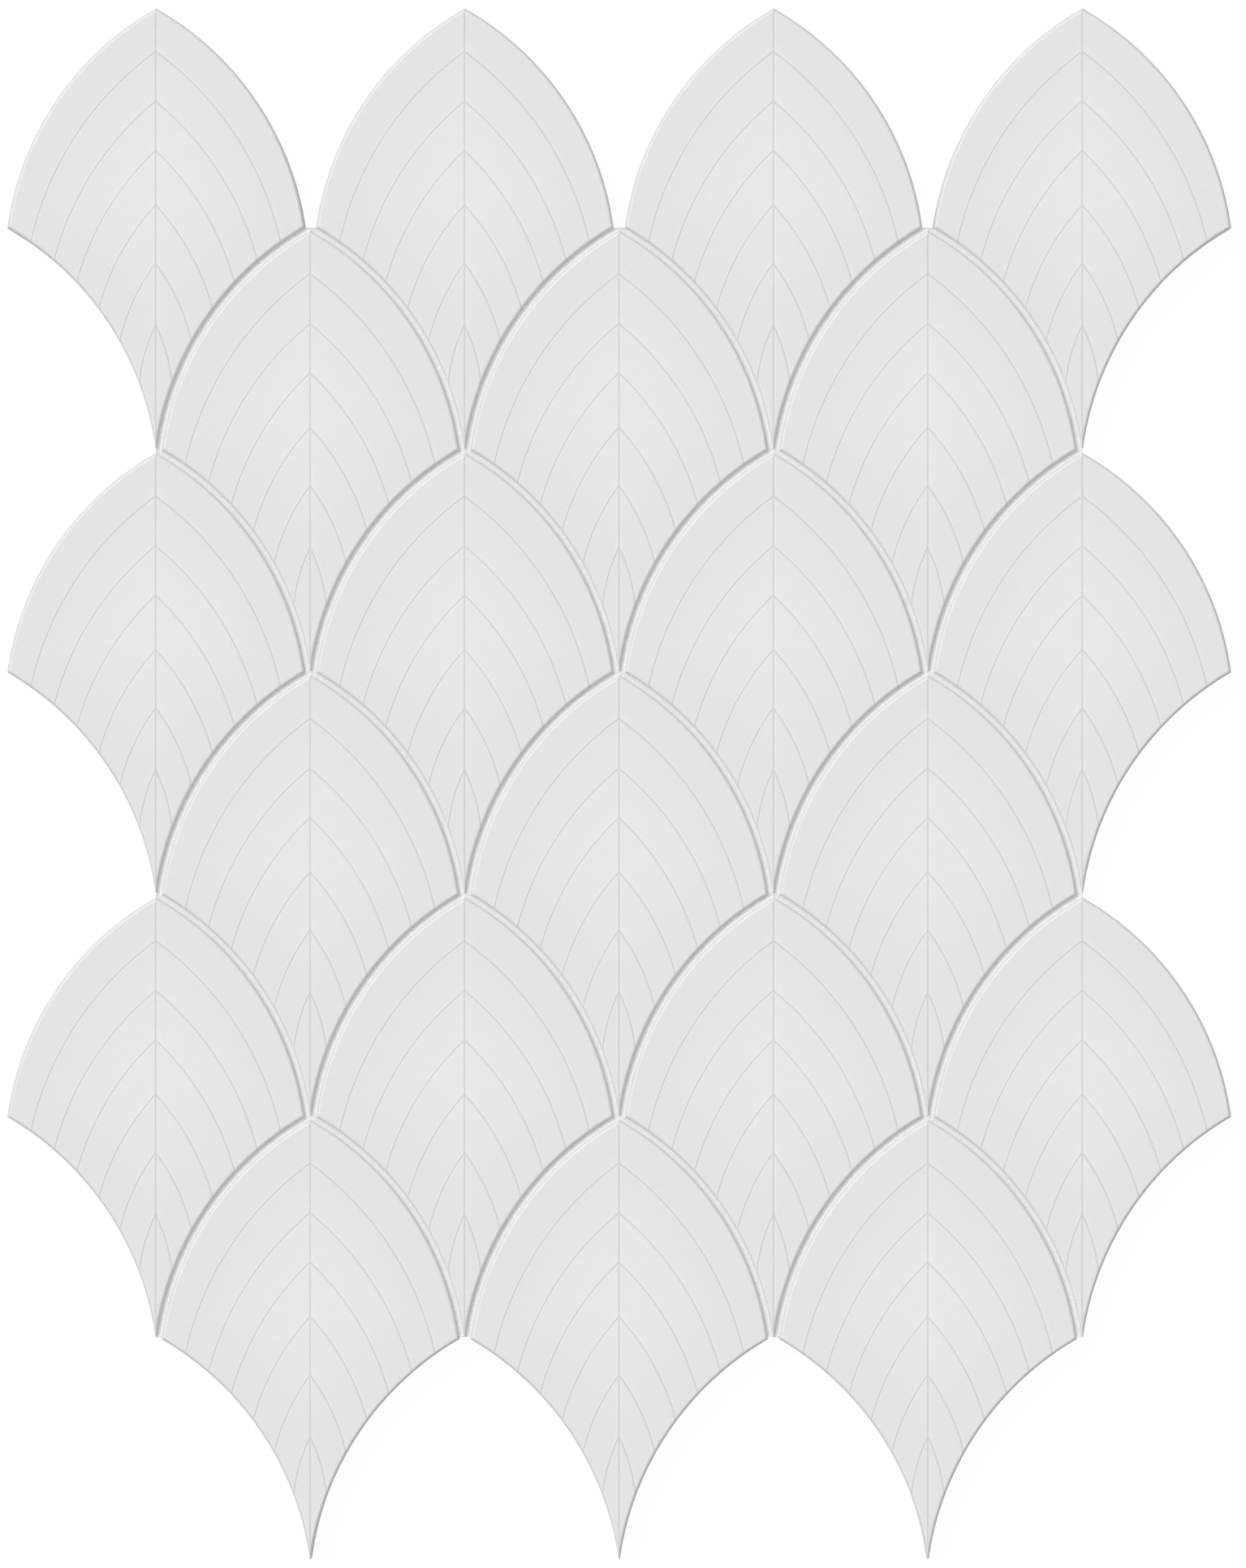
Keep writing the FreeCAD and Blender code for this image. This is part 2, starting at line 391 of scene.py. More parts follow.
def shape_with(piece, tree, **values):
    """Runs a node tree on a piece and keeps the result as a plain mesh."""
    modifier = piece.modifiers.new(tree.name, "NODES")
    modifier.node_group = tree
    for item in tree.interface.items_tree:
        key = item.name.lower().replace(" ", "_")
        if item.in_out == "INPUT" and key in values:
            modifier[item.identifier] = values.pop(key)
    if values:
        raise RuntimeError(f"{tree.name} has no inputs {sorted(values)}")
    depsgraph = bpy.context.evaluated_depsgraph_get()
    mesh = bpy.data.meshes.new_from_object(piece.evaluated_get(depsgraph), preserve_all_data_layers=True,
                                           depsgraph=depsgraph)
    piece.modifiers.clear()
    piece.data = mesh
    mesh.name = piece.name
    if not mesh.polygons:
        raise RuntimeError(f"{piece.name} came out empty")


# The plan of one tile, with its tip at the origin and its tail towards -Y


class Arc(NamedTuple):
    """A circle in plan."""

    x: float
    y: float
    radius: float


class Row(NamedTuple):
    """A line of the grid from the midrib to the lower edge, as an arc with some bow."""

    fork: float
    end: Vector
    bow: float


class TilePlan(NamedTuple):
    """The arcs that bound the right half of a tile, and its veins."""

    upper: Arc
    flank: Arc
    veins: list


def on_circle(arc, turn):
    """The point of a circle in a direction."""
    return Vector((arc.x + arc.radius * math.cos(turn), arc.y + arc.radius * math.sin(turn)))


def meet(first, second, near):
    """The crossing of two circles that lies nearer to a point."""
    gap = Vector((second.x - first.x, second.y - first.y))
    along = (first.radius ** 2 - second.radius ** 2 + gap.length_squared) / (2 * gap.length)
    across = math.sqrt(max(0.0, first.radius ** 2 - along ** 2))
    unit = gap.normalized()
    foot = Vector((first.x, first.y)) + unit * along
    aside = Vector((-unit.y, unit.x)) * across
    return min(foot + aside, foot - aside, key=lambda point: (point - near).length)


def row_arc(row):
    """The circle that a row follows."""
    start = Vector((0.0, row.fork))
    chord = row.end - start
    radius = chord.length * (0.25 + row.bow ** 2) / (2 * row.bow)
    unit = chord.normalized()
    centre = (start + row.end) / 2 + Vector((unit.y, -unit.x)) * (radius - row.bow * chord.length)
    return Arc(centre.x, centre.y, radius)


def row_beside(arc, shift, flank, near):
    """The row that runs at a fixed distance from an arc, outwards if the distance is positive."""
    beside = Arc(arc.x, arc.y, arc.radius + shift)
    start = Vector((0.0, beside.y + math.sqrt(beside.radius ** 2 - beside.x ** 2)))
    end = meet(beside, flank, near)
    chord = (end - start).length
    rise = beside.radius - math.sqrt(beside.radius ** 2 - chord ** 2 / 4)
    return Row(start.y, end, rise / chord)


def rows_between(first, second, count, flank, crowding=1.0):
    """Rows that change from one to another, evenly or crowding towards the second."""
    turns = [math.atan2(row.end.y - flank.y, row.end.x - flank.x) for row in (first, second)]
    turns[1] += 2 * math.pi * round((turns[0] - turns[1]) / (2 * math.pi))
    rows = []
    for number in range(1, count + 1):
        part = 1 - (1 - number / (count + 1)) ** crowding
        turn = turns[0] + (turns[1] - turns[0]) * part
        rows.append(Row(first.fork + (second.fork - first.fork) * part, on_circle(flank, turn),
                        first.bow + (second.bow - first.bow) * part))
    return rows


def tile_plan(sizes):
    """The arcs of a tile: the upper edge, the lower edge that follows the next tile, and the veins."""
    half_width = TILE_WIDTH / 2
    half_chord = math.hypot(half_width, sizes.shoulder_drop) / 2
    chord_gap = math.sqrt(sizes.scale_radius ** 2 - half_chord ** 2)
    upper = Arc(half_width / 2 - chord_gap * sizes.shoulder_drop / (2 * half_chord),
                -sizes.shoulder_drop / 2 - chord_gap * half_width / (2 * half_chord),
                sizes.scale_radius)
    flank_radius = sizes.scale_radius + sizes.joint_width
    flank_x = COLUMN_PITCH / 2 - upper.x
    flank_drop = math.sqrt(flank_radius ** 2 - (flank_x - half_width) ** 2)
    flank = Arc(flank_x, -sizes.shoulder_drop - flank_drop, flank_radius)
    veins = []
    pairs = len(sizes.vein_forks)
    for number, fork in enumerate(sizes.vein_forks):
        reach = half_width * (1 - (number + 1) / (pairs + 1)) ** sizes.vein_spread
        end = Vector((reach, flank.y + math.sqrt(flank.radius ** 2 - (flank.x - reach) ** 2)))
        veins.append(Row(-fork, end, sizes.vein_bow * sizes.bow_fade ** number))
    return TilePlan(upper, flank, veins)


def grid_rows(plan, sizes):
    """All rows of the grid, from the upper edge to the tail."""
    corner = Vector((TILE_WIDTH / 2, -sizes.shoulder_drop))
    bands = [[row_beside(plan.upper, -step * sizes.bevel_width, plan.flank, corner)
              for step in EDGE_STEPS]]
    lips = [step * sizes.vein_width for step in LIP_STEPS]
    shifts = lips[:0:-1] + [-lip for lip in lips]
    for vein in plan.veins:
        arc = row_arc(vein)
        bands.append([row_beside(arc, shift, plan.flank, vein.end) for shift in shifts])
    tail = []
    for step in reversed(EDGE_STEPS):
        y = step * sizes.bevel_width - TILE_LENGTH
        reach = plan.flank.x - math.sqrt(plan.flank.radius ** 2 - (y - plan.flank.y) ** 2)
        tail.append(Row(y, Vector((reach, y)), TAIL_BOW))
    rows = list(bands[0])
    for band in bands[1:]:
        rows += rows_between(rows[-1], band[0], ROWS_BETWEEN, plan.flank) + band
    return rows + rows_between(rows[-1], tail[0], TAIL_ROWS, plan.flank, TAIL_CROWDING) + tail


def row_points(row, plan, sizes):
    """Points along a row: close together at the midrib and at the edge, and evenly spread between."""
    arc = row_arc(row)
    ribs = [step * sizes.vein_width for step in LIP_STEPS]
    insets = [step * sizes.bevel_width for step in reversed(EDGE_STEPS)]
    squeeze = min(1.0, CLOSE_SHARE * row.end.x / (ribs[-1] + insets[0]))
    points = []
    for rib in ribs:
        x = rib * squeeze
        points.append(Vector((x, arc.y + math.sqrt(arc.radius ** 2 - (x - arc.x) ** 2))))
    ends = [meet(arc, Arc(plan.flank.x, plan.flank.y, plan.flank.radius + inset * squeeze), row.end)
            for inset in insets]
    turns = [math.atan2(point.y - arc.y, point.x - arc.x) for point in (points[-1], ends[0])]
    for number in range(1, COLUMNS_BETWEEN + 1):
        turn = turns[0] + (turns[1] - turns[0]) * number / (COLUMNS_BETWEEN + 1)
        points.append(on_circle(arc, turn))
    return points + ends


def plan_distance(point, arc):
    """How far a point lies outside a circle."""
    return math.hypot(point.x - arc.x, point.y - arc.y) - arc.radius


def tile_blank(sizes):
    """A flat, closed tile whose points carry their distances from the edge and from the nearest vein."""
    plan = tile_plan(sizes)
    arcs = [row_arc(vein) for vein in plan.veins]
    half = [row_points(row, plan, sizes) for row in grid_rows(plan, sizes)]
    points, edge_gaps, vein_gaps, tip_sides, faces = [], [], [], [], []

    def add_point(point, side):
        """Adds a point of the face, and says where it went."""
        gaps = (-plan_distance(point, plan.upper), plan_distance(point, plan.flank), point.y + TILE_LENGTH)
        edge_gaps.append(max(0.0, min(gaps)))
        nearest = min((plan_distance(point, arc) for arc in arcs), key=abs)
        vein_gaps.append(min(point.x, abs(nearest)))
        tip_sides.append(float(nearest > 0 and abs(nearest) < point.x))
        points.append((side * point.x, point.y, TILE_THICKNESS))
        return len(points) - 1

    right = [[add_point(point, 1) for point in row] for row in half]
    left = [[known[0]] + [add_point(point, -1) for point in row[1:]] for known, row in zip(right, half)]
    bevel_rows = len(EDGE_STEPS) - 1
    for side in (right, left):
        for number, (upper, lower) in enumerate(zip(side, side[1:])):
            for column in range(len(upper) - 1):
                corners = (upper[column], lower[column], lower[column + 1], upper[column + 1])
                if number < bevel_rows and number + column == len(upper) - 2:
                    # The mitre between two bevels runs along the diagonal of these corners
                    faces += [(corners[0], corners[1], corners[3]), corners[1:]]
                else:
                    faces.append(corners)
    ring = right[0] + [row[-1] for row in right[1:-1]] + right[-1][::-1]
    ring += left[-1][1:] + [row[-1] for row in left[-2:0:-1]] + left[0][:0:-1]
    face_points = len(points)
    for height in (*WALL_RINGS, 0.0):
        lower_ring = [len(points) + number for number in range(len(ring))]
        points += [(points[index][0], points[index][1], height * TILE_THICKNESS) for index in ring]
        for number in range(len(ring)):
            after = (number + 1) % len(ring)
            faces.append((ring[number], lower_ring[number], lower_ring[after], ring[after]))
        ring = lower_ring
    faces.append(tuple(ring))
    side_points = len(points) - face_points
    mesh = bpy.data.meshes.new("tile_blank")
    mesh.from_pydata(points, [], faces)
    for name, values in (("edge_gap", edge_gaps + [0.0] * side_points),
                         ("vein_gap", vein_gaps + [FAR_FROM_VEINS] * side_points),
                         ("tip_side", tip_sides + [0.0] * side_points),
                         ("face_share", [1.0] * face_points + [0.0] * side_points)):
        mesh.attributes.new(name, "FLOAT", "POINT").data.foreach_set("value", values)
    turn_outwards(mesh)
    return mesh


def turn_outwards(mesh):
    """Makes all faces of a closed mesh point outwards."""
    work = bmesh.new()
    work.from_mesh(mesh)
    bmesh.ops.recalc_face_normals(work, faces=work.faces)
    work.to_mesh(mesh)
    work.free()


def pressed_tile_tree():
    """Node tree that presses the edges and veins into a blank and moves it to its place."""
    tree = new_tree("Pressed tile", "GeometryNodeTree",
                    {"Geometry": "Geometry", "Place": "Vector", "Bevel width": "Float",
                     "Bevel depth": "Float", "Vein width": "Float", "Vein depth": "Float",
                     "Ripple": "Float", "Ripple size": "Float", "Seed": "Float", "Glaze": "Material"},
                    {"Geometry": "Geometry"})
    sketch = NodeSketch(tree)
    given = sketch.add("NodeGroupInput").outputs
    edge = sketch.math("DIVIDE", sketch.carried("edge_gap"), given["Bevel width"])
    edge = sketch.math("POWER", sketch.math("SUBTRACT", 1.0, edge, clamp=True), BEVEL_ROUNDING)
    edge_drop = sketch.math("MULTIPLY", edge, given["Bevel depth"])
    vein_reach = sketch.math("MULTIPLY", given["Vein width"], LIP_REACH)
    vein = sketch.math("DIVIDE", sketch.carried("vein_gap"), vein_reach)
    vein = sketch.math("POWER", sketch.math("SUBTRACT", 1.0, vein, clamp=True), LIP_ROUNDING)
    vein_drop = sketch.math("MULTIPLY", vein, given["Vein depth"])
    waves = sketch.noise(given["Ripple size"], RIPPLE_DETAIL, given["Seed"])
    drop = sketch.math("ADD", sketch.math("MAXIMUM", edge_drop, vein_drop),
                       sketch.math("MULTIPLY", waves, given["Ripple"]))
    lift = sketch.math("MULTIPLY", drop, sketch.math("MULTIPLY", sketch.carried("face_share"), -1.0))
    pressed = sketch.add("GeometryNodeSetPosition", {"Geometry": given["Geometry"],
                                                     "Offset": sketch.vector(z=lift)})
    placed = sketch.add("GeometryNodeTransform", {"Geometry": pressed.outputs[0],
                                                  "Translation": given["Place"]})
    finish_tree(sketch, placed.outputs[0], given["Glaze"])
    return tree


def finish_tree(sketch, geometry, material):
    """Ends a node tree: smooth, realized and with its material."""
    smooth = sketch.add("GeometryNodeSetShadeSmooth", {"Geometry": geometry})
    real = sketch.add("GeometryNodeRealizeInstances", {"Geometry": smooth.outputs[0]})
    dressed = sketch.add("GeometryNodeSetMaterial", {"Geometry": real.outputs[0], "Material": material})
    sketch.add("NodeGroupOutput", {0: dressed.outputs[0]})


# Finishes


def fine_grain_group():
    """Shader group for fine grain: a mask of specks and a height for bump."""
    known = bpy.data.node_groups.get("Fine grain")
    if known:
        return known
    tree = new_tree("Fine grain", "ShaderNodeTree",
                    {"Vector": "Vector", "Size": "Float", "Detail": "Float"},
                    {"Specks": "Float", "Height": "Float"})
    sketch = NodeSketch(tree)
    given = sketch.add("NodeGroupInput").outputs
    noise = sketch.add("ShaderNodeTexNoise", {"Vector": given["Vector"], "Detail": given["Detail"],
                                              "Scale": sketch.math("DIVIDE", 1.0, given["Size"])})
    specks = sketch.ramp(noise.outputs[0], *SPECK_RANGE)
    sketch.add("NodeGroupOutput", {"Specks": specks, "Height": noise.outputs[0]})
    return tree


def new_material(name):
    """A material with its sketch, its surface shader and Object coordinates."""
    material = bpy.data.materials.new(name)
    material.use_nodes = True
    sketch = NodeSketch(material.node_tree)
    shader = material.node_tree.nodes["Principled BSDF"]
    place = sketch.add("ShaderNodeTexCoord").outputs["Object"]
    return material, sketch, shader, place


def grain(sketch, place, size, detail):
    """Places the shared grain in a material, and gives its specks and its height."""
    node = sketch.add("ShaderNodeGroup", node_tree=fine_grain_group())
    for name, value in (("Vector", place), ("Size", size), ("Detail", detail)):
        sketch.feed(node.inputs[name], value)
    return node.outputs["Specks"], node.outputs["Height"]


def surface_attribute(sketch, name):
    """A number that the mesh carries on its points."""
    return sketch.add("ShaderNodeAttribute", attribute_name=name).outputs["Fac"]


def roughen(sketch, shader, relief, height):
    """Gives a surface its finest relief."""
    bump = sketch.add("ShaderNodeBump", {"Strength": relief.strength, "Distance": relief.height,
                                         "Height": height})
    sketch.feed(shader.inputs["Normal"], bump.outputs[0])


def matt_glaze(sizes):
    """Matt glaze over bare clay low on the sides, paler towards the middle and beside the veins by painted
    highlights, darker in the veins and on the rounded edge by painted shade.
    """
    material, sketch, shader, place = new_material("matt_glaze")
    specks, height = grain(sketch, place, *GLAZE_GRAIN)
    clay_specks, clay_height = grain(sketch, place, *CLAY_GRAIN)
    edge = surface_attribute(sketch, "edge_gap")
    vein = surface_attribute(sketch, "vein_gap")
    # Painted soft highlight: the glaze pales from the edge colour to the middle colour away from the edge
    glaze = sketch.blend(sketch.ramp(edge, *MIDDLE_HIGHLIGHT_SPAN), opaque(sizes.edge_colour), opaque(sizes.middle_colour_with_painted_highlight))
    glaze = sketch.blend(sketch.between(specks, 0.0, GLAZE_SPECK_SHADE), glaze, BLACK)
    # Painted shade on the rounded edge, fading inwards
    painted_edge_shade_mask = sketch.ramp(edge, EDGE_SHADE_START, sizes.bevel_width, sizes.edge_painted_shade, 0.0)
    # Painted shade in each vein groove; the darker of it and the edge's painted shade is laid on the glaze
    painted_vein_shade_mask = sketch.ramp(vein, *VEIN_SHADE_FADE, sizes.vein_painted_shade, 0.0)
    glaze = sketch.blend(sketch.math("MAXIMUM", painted_edge_shade_mask, painted_vein_shade_mask), glaze, BLACK)
    # Painted highlight on the tip side of each vein
    painted_lip_highlight_mask = sketch.math("MULTIPLY", sketch.ramp(vein, *LIP_SHINE_RISE),
                         sketch.ramp(vein, *LIP_SHINE_FADE, sizes.lip_painted_highlight, 0.0))
    painted_lip_highlight_mask = sketch.math("MULTIPLY", painted_lip_highlight_mask, surface_attribute(sketch, "tip_side"))
    glaze = sketch.blend(painted_lip_highlight_mask, glaze, WHITE)
    clay = sketch.blend(clay_specks, opaque(sizes.biscuit_colour),
                        opaque([CLAY_SPECK_TONE * part for part in sizes.biscuit_colour]))
    level = sketch.add("ShaderNodeSeparateXYZ", {0: place}).outputs[2]
    runs = sketch.add("ShaderNodeTexNoise", {"Vector": place, "Scale": 1 / GLAZE_RUNS.size,
                                             "Detail": GLAZE_RUNS.detail}).outputs[0]
    run = sketch.math("MULTIPLY", sketch.math("SUBTRACT", runs, 0.5), RUN_HEIGHT)
    level = sketch.math("ADD", level, run)
    glazed = sketch.ramp(level, sizes.glaze_line - RUN_END, sizes.glaze_line + RUN_END)
    sketch.feed(shader.inputs["Base Color"], sketch.blend(glazed, clay, glaze))
    roughness = sketch.math("ADD", sketch.between(specks, *GLAZE_ROUGHNESS),
                            sketch.between(glazed, CLAY_EXTRA_ROUGHNESS, 0.0))
    sketch.feed(shader.inputs["Roughness"], roughness)
    peel = sketch.math("ADD", sketch.math("MULTIPLY", height, GLAZE_PEEL),
                       sketch.math("MULTIPLY", clay_height, sketch.between(glazed, 1.0, 0.0)))
    roughen(sketch, shader, GLAZE_RELIEF, peel)
    return material


def sanded_filler(sizes):
    """Pale cement with fine sand in it."""
    material, sketch, shader, place = new_material("sanded_filler")
    specks, height = grain(sketch, place, sizes.grain_size, SAND_DETAIL)
    dust, dust_height = grain(sketch, place, *DUST_GRAIN)
    sand = sketch.blend(specks, opaque(sizes.pale_colour), opaque(sizes.sand_colour))
    sand = sketch.blend(sketch.between(dust, 0.0, DUST_COVER), sand, opaque(sizes.pale_colour))
    sketch.feed(shader.inputs["Base Color"], sand)
    sketch.feed(shader.inputs["Roughness"], sketch.between(specks, *FILLER_ROUGHNESS))
    roughen(sketch, shader, FILLER_RELIEF, sketch.math("ADD", height, dust_height))
    return material


def glass_yarn(sizes):
    """Coated glass yarn, with its filaments running along it."""
    material, sketch, shader, place = new_material("glass_yarn")
    across = surface_attribute(sketch, "yarn_across")
    along = surface_attribute(sketch, "yarn_along")
    streaks = sketch.vector(sketch.math("MULTIPLY", across, FILAMENTS_ROUND),
                            sketch.math("MULTIPLY", along, FILAMENTS_ALONG))
    lines, line_height = grain(sketch, streaks, *FILAMENT_GRAIN)
    lint, lint_height = grain(sketch, place, *LINT_GRAIN)
    strands = sketch.blend(sketch.between(lines, 0.0, FILAMENT_SHADE), opaque(sizes.yarn_colour),
                           opaque(sizes.gap_colour))
    strands = sketch.blend(sketch.between(lint, 0.0, LINT_COVER), strands, opaque(sizes.yarn_colour))
    sketch.feed(shader.inputs["Base Color"], strands)
    sketch.feed(shader.inputs["Roughness"], sketch.between(lines, *YARN_ROUGHNESS))
    roughen(sketch, shader, YARN_RELIEF, sketch.math("ADD", line_height, lint_height))
    return material


# Pieces


class FISHSCALE_OT_press_tiles(bpy.types.Operator):
    """Press and glaze one tile for each tile of the sheet"""

    bl_idname = "fishscale.press_tiles"
    bl_label = "Press the tiles"

    def execute(self, context):
        sizes = context.scene.fishscale_tile
        glaze = matt_glaze(sizes)
        tree = pressed_tile_tree()
        blank = tile_blank(sizes)
        for number, node in enumerate(TILE_NODES):
            low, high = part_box(node)
            piece = new_object("glazed_" + node, blank)
            shape_with(piece, tree, place=((low.x + high.x) / 2, high.y, low.z),
                       bevel_width=sizes.bevel_width, bevel_depth=sizes.bevel_depth,
                       vein_width=sizes.vein_width, vein_depth=sizes.vein_depth,
                       ripple=sizes.ripple, ripple_size=sizes.ripple_size,
                       seed=float(sizes.seed + number), glaze=glaze)
            piece.data.set_sharp_from_angle(angle=TILE_SHARP_ANGLE)
            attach(piece, BODY)
            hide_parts(node)
        bpy.data.meshes.remove(blank)
        return {"FINISHED"}


def worked_filler(sizes, joint_width):
    """A merged copy of the filler whose upper surface is fine enough to carry sand."""
    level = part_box(FILLER_NODE)[1].z - TOP_MARGIN
    work = bmesh.new()
    work.from_mesh(frame["nodes"][FILLER_NODE].data)
    bmesh.ops.remove_doubles(work, verts=work.verts, dist=MERGE_GAP)

    def on_top(part):
        """Whether an edge or a face lies in the upper surface."""
        return all(vert.co.z > level for vert in part.verts)

    while True:
        upper = [edge for edge in work.edges if on_top(edge)]
        longest = max(edge.calc_length() for edge in upper)
        if longest <= sizes.fineness:
            break
        limit = max(longest / 2, sizes.fineness)
        long_edges = [edge for edge in upper if edge.calc_length() > limit]
        bmesh.ops.subdivide_edges(work, edges=long_edges, cuts=1)
        bmesh.ops.triangulate(work, faces=[face for face in work.faces if on_top(face)])
    bmesh.ops.triangulate(work, faces=work.faces)
    open_share = work.verts.layers.float.new("open_share")
    inner = [vert for vert in work.verts if all(on_top(face) for face in vert.link_faces)]
    rim = [edge for edge in work.edges if len({on_top(face) for face in edge.link_faces}) == 2]
    outwards = [(vert, vert.normal.xy) for vert in work.verts if vert.normal.xy.length > SIDE_LEAN]
    nearest = KDTree(len(rim) * (RIM_STRETCHES + 1))
    for number, edge in enumerate(rim):
        start, end = (vert.co for vert in edge.verts)
        for step in range(RIM_STRETCHES + 1):
            nearest.insert(start.lerp(end, step / RIM_STRETCHES), number)
    nearest.balance()
    for vert in inner:
        gap = min(1.0, 2 * nearest.find(vert.co)[2] / joint_width)
        vert[open_share] = 1 - (1 - gap) ** 2
    for vert, direction in outwards:
        vert.co.xy += direction.normalized() * sizes.bite
    mesh = bpy.data.meshes.new("filler_blank")
    work.to_mesh(mesh)
    work.free()
    return mesh


def sanded_joints_tree():
    """Node tree that wipes the joints hollow and raises sand in them."""
    tree = new_tree("Sanded joints", "GeometryNodeTree",
                    {"Geometry": "Geometry", "Dish": "Float", "Grain": "Float", "Grain size": "Float",
                     "Seed": "Float", "Filler": "Material"},
                    {"Geometry": "Geometry"})
    sketch = NodeSketch(tree)
    given = sketch.add("NodeGroupInput").outputs
    sand = sketch.noise(given["Grain size"], SAND_DETAIL, given["Seed"])
    full_grain = sketch.math("MULTIPLY", given["Grain"], 2.0)
    rise = sketch.math("MULTIPLY", sketch.math("SUBTRACT", sand, 0.5), full_grain)
    rise = sketch.math("SUBTRACT", rise, given["Dish"])
    lift = sketch.math("MULTIPLY", rise, sketch.carried("open_share"))
    worked = sketch.add("GeometryNodeSetPosition", {"Geometry": given["Geometry"],
                                                    "Offset": sketch.vector(z=lift)})
    finish_tree(sketch, worked.outputs[0], given["Filler"])
    return tree


class FISHSCALE_OT_fill_joints(bpy.types.Operator):
    """Fill the joints with sanded cement"""

    bl_idname = "fishscale.fill_joints"
    bl_label = "Fill the joints"

    def execute(self, context):
        sizes = context.scene.fishscale_joints
        joint_width = context.scene.fishscale_tile.joint_width
        piece = new_object("sanded_joints", worked_filler(sizes, joint_width))
        shape_with(piece, sanded_joints_tree(), dish=sizes.dish, grain=sizes.grain,
                   grain_size=sizes.grain_size, seed=float(sizes.seed), filler=sanded_filler(sizes))
        piece.data.set_sharp_from_angle(angle=JOINT_SHARP_ANGLE)
        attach(piece, BODY)
        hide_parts(FILLER_NODE)
        return {"FINISHED"}


def woven_backing_tree():
    """Node tree for a plain weave of flat yarns, half a cell beyond the last yarn on each side."""
    tree = new_tree("Woven backing", "GeometryNodeTree",
                    {"Cells across": "Int", "Cells along": "Int", "Cell width": "Float",
                     "Cell length": "Float", "Yarn width": "Float", "Yarn thickness": "Float",
                     "Crimp": "Float", "Centre": "Vector", "Yarn": "Material"},
                    {"Geometry": "Geometry"})
    sketch = NodeSketch(tree)
    given = sketch.add("NodeGroupInput").outputs
    names = (("Cells across", "Cell width"), ("Cells along", "Cell length"))
    half_cells = []
    waves = []
    position = sketch.add("GeometryNodeInputPosition").outputs[0]
    place = sketch.add("ShaderNodeSeparateXYZ", {0: position}).outputs
    for axis, (cells, cell) in enumerate(names):
        half_cells.append(sketch.math("MULTIPLY", given[cells], 0.5))
        turns = sketch.math("ADD", sketch.math("DIVIDE", place[axis], given[cell]),
                            sketch.math("SUBTRACT", half_cells[axis], 0.5))
        waves.append(sketch.math("COSINE", sketch.math("MULTIPLY", turns, math.pi)))
    wave = sketch.math("MULTIPLY", sketch.math("MULTIPLY", waves[0], waves[1]), given["Crimp"])
    ring = sketch.add("GeometryNodeCurvePrimitiveCircle", {"Resolution": YARN_SIDES, "Radius": 0.5},
                      mode="RADIUS")
    section = sketch.add("GeometryNodeTransform", {
        "Geometry": ring.outputs[0],
        "Scale": sketch.vector(given["Yarn width"], given["Yarn thickness"], 1.0)})
    parameter = sketch.add("GeometryNodeSplineParameter")
    section = sketch.add("GeometryNodeStoreNamedAttribute", {
        "Geometry": section.outputs[0], "Name": "yarn_across", "Value": parameter.outputs["Factor"]},
        data_type="FLOAT", domain="POINT")
    joined = sketch.add("GeometryNodeJoinGeometry")
    for axis, sign in ((0, 1.0), (1, -1.0)):
        cells, cell = names[axis]
        other_cells, other_cell = names[1 - axis]
        reach = sketch.math("MULTIPLY", half_cells[axis], given[cell])
        back = sketch.math("MULTIPLY", reach, -1.0)
        line = sketch.add("GeometryNodeCurvePrimitiveLine", {
            "Start": sketch.vector(**{"xy"[axis]: back}), "End": sketch.vector(**{"xy"[axis]: reach})})
        count = sketch.math("ADD", sketch.math("MULTIPLY", given[cells], STEPS_PER_CELL), 1.0)
        line = sketch.add("GeometryNodeResampleCurve", {"Curve": line.outputs[0], "Count": count},
                          mode="COUNT")
        first = sketch.math("MULTIPLY", sketch.math("SUBTRACT", 0.5, half_cells[1 - axis]),
                            given[other_cell])
        posts = sketch.add("GeometryNodeMeshLine", {
            "Count": given[other_cells], "Start Location": sketch.vector(**{"yx"[axis]: first}),
            "Offset": sketch.vector(**{"yx"[axis]: given[other_cell]})}, mode="OFFSET")
        spread = sketch.add("GeometryNodeInstanceOnPoints", {"Points": posts.outputs[0],
                                                             "Instance": line.outputs[0]})
        yarns = sketch.add("GeometryNodeRealizeInstances", {"Geometry": spread.outputs[0]})
        yarns = sketch.add("GeometryNodeSetPosition", {
            "Geometry": yarns.outputs[0], "Offset": sketch.vector(z=sketch.math("MULTIPLY", wave, sign))})
        yarns = sketch.add("GeometryNodeSetCurveNormal", {"Curve": yarns.outputs[0]}, mode="Z_UP")
        yarns = sketch.add("GeometryNodeStoreNamedAttribute", {
            "Geometry": yarns.outputs[0], "Name": "yarn_along", "Value": parameter.outputs["Length"]},
            data_type="FLOAT", domain="POINT")
        tubes = sketch.add("GeometryNodeCurveToMesh", {
            "Curve": yarns.outputs[0], "Profile Curve": section.outputs[0], "Fill Caps": True})
        sketch.feed(joined.inputs[0], tubes.outputs[0])
    placed = sketch.add("GeometryNodeTransform", {"Geometry": joined.outputs[0],
                                                  "Translation": given["Centre"]})
    finish_tree(sketch, placed.outputs[0], given["Yarn"])
    return tree


